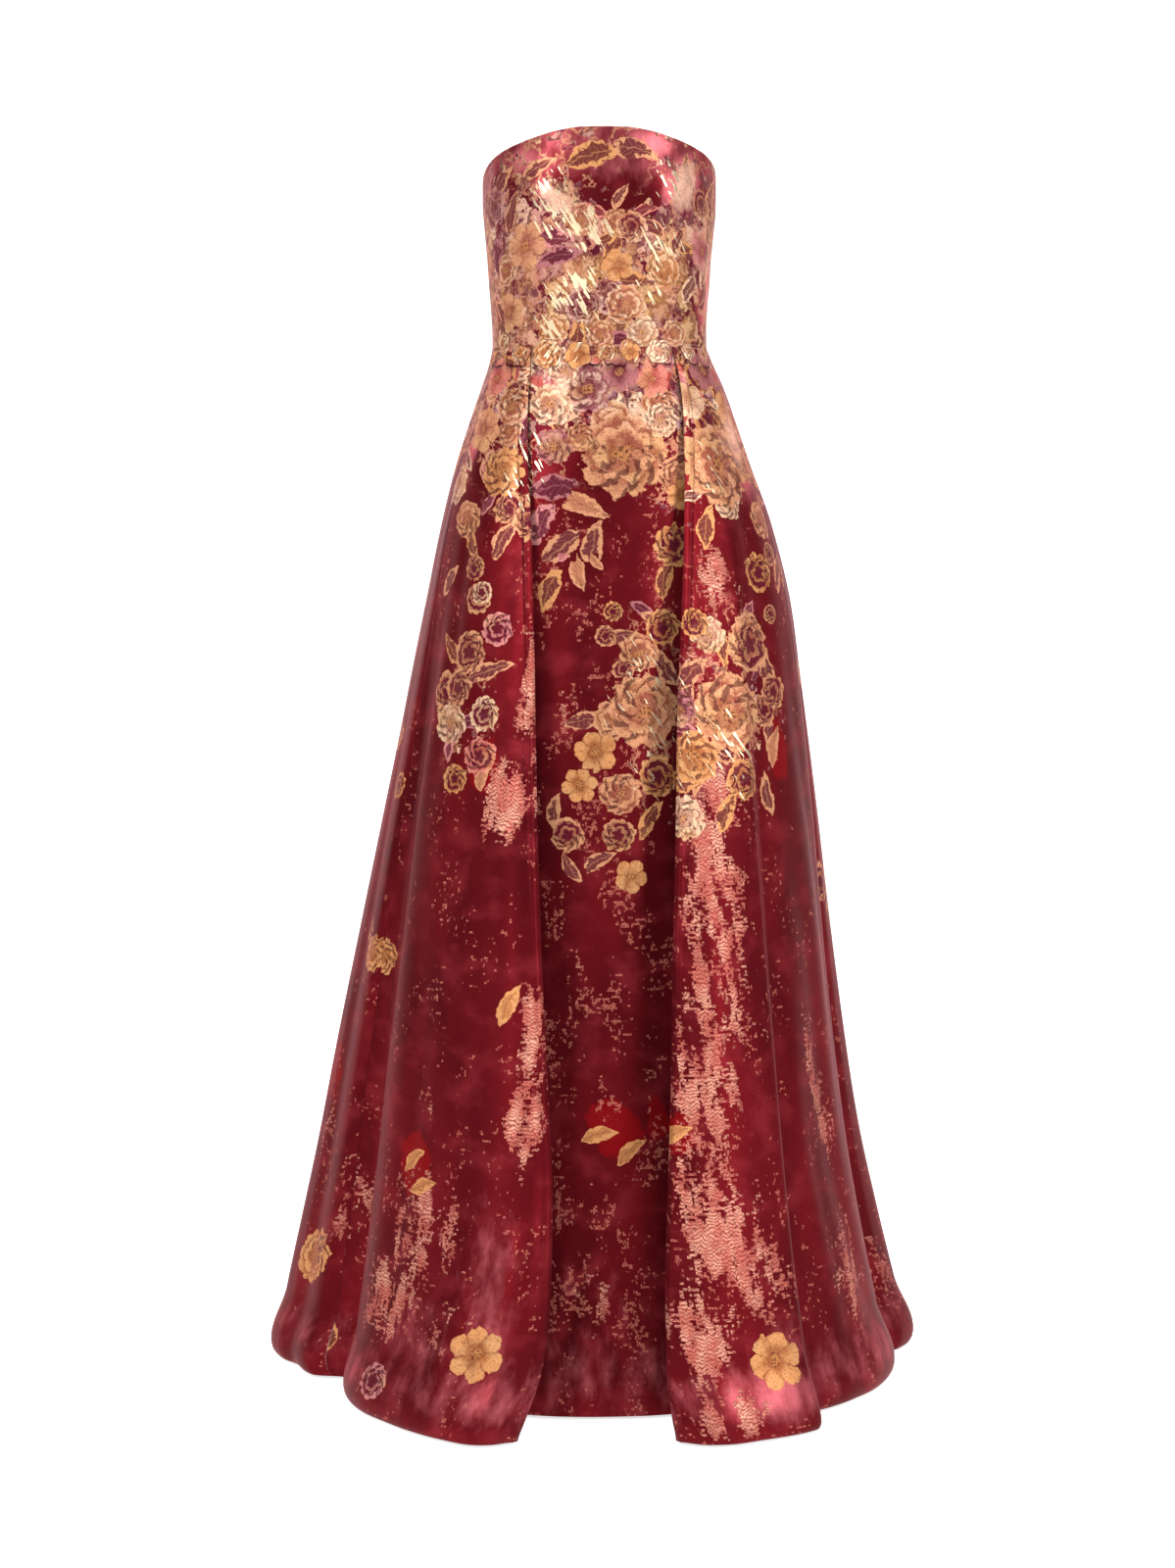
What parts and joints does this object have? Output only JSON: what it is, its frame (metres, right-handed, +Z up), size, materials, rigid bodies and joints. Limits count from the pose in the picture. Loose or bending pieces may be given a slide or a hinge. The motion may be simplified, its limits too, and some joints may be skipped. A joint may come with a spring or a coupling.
{
  "type": "column gown",
  "caption": "Strapless column gown of floral jacquard with a fitted bodice, a straight underskirt and a fuller overskirt open at the front.",
  "frame": {"origin": "on the body's vertical axis at the waist seam, the level where the wearer's waist holds the gown up", "axes": "+Z up, the front of the gown faces -Y, +X to the right of someone facing it"},
  "size_m": [0.7405, 0.7244, 1.393],
  "materials": {
    "bodice_jacquard": "satin floral jacquard, peach and gold on wine red",
    "underskirt_jacquard": "satin floral jacquard, dark wine red with large flowers at the top",
    "overskirt_jacquard": "satin floral jacquard, wine red with pink floats and scattered flowers",
    "waist_motif_jacquard": "gold and peach jacquard cut out round its flowers",
    "zip_metal": "satin"
  },
  "bodies": {
    "gown": {"bodice_front": "bodice_jacquard", "bodice_side_left": "bodice_jacquard", "bodice_side_right": "bodice_jacquard", "bodice_back_left": "bodice_jacquard", "bodice_back_right": "bodice_jacquard", "underskirt_front": "underskirt_jacquard", "underskirt_back_left": "underskirt_jacquard", "underskirt_back_right": "underskirt_jacquard", "overskirt_front_left": "overskirt_jacquard", "overskirt_front_right": "overskirt_jacquard", "overskirt_back_left": "overskirt_jacquard", "overskirt_back_right": "overskirt_jacquard", "waist_leaf_left_end": "waist_motif_jacquard", "waist_bud_left": "waist_motif_jacquard", "waist_flower_left": "waist_motif_jacquard", "waist_flower_centre": "waist_motif_jacquard", "waist_petals_centre": "waist_motif_jacquard", "waist_leaf_centre": "waist_motif_jacquard", "waist_flower_right": "waist_motif_jacquard", "waist_bud_right": "waist_motif_jacquard", "waist_leaf_right_end": "waist_motif_jacquard", "zip_slider": "zip_metal"},
    "zip_pull": {"zip_pull_tab": "zip_metal"}
  },
  "joints": [
    {"name": "zip_pull_swing", "type": "hinge", "parent": "gown", "child": "zip_pull", "pos_m": [0, 0.09966, 0.149], "axis": [1, 0, 0], "range_deg": [0, 150]}
  ]
}
